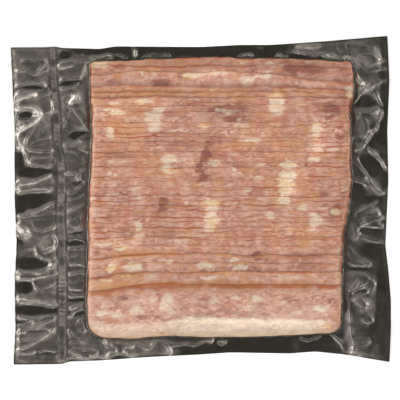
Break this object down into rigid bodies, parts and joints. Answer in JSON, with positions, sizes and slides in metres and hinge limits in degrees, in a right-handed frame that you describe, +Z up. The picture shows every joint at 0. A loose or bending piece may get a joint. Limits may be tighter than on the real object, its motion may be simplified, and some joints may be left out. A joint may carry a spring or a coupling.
{
  "type": "bacon pack",
  "caption": "Flat vacuum pack of overlapping smoked bacon slices between a clear front film and a black back film, welded all round.",
  "frame": {"origin": "under the middle of the pouch, on the surface that the pack lies on", "axes": "+X along the slices, away from the wide welded mouth; +Y towards the end where the first slice lies; +Z up, out of the clear front"},
  "size_m": [0.3788, 0.328, 0.0202],
  "materials": {
    "bacon": "moist smoked pork seen through clear glossy film, pink-brown lean with cream fat",
    "clear_film": "clear glossy vacuum film, crinkled in the border",
    "black_film": "glossy black multilayer film, crinkled in the border"
  },
  "bodies": {
    "root": {"clear_bag": "bacon", "back_film": "black_film"}
  },
  "joints": []
}
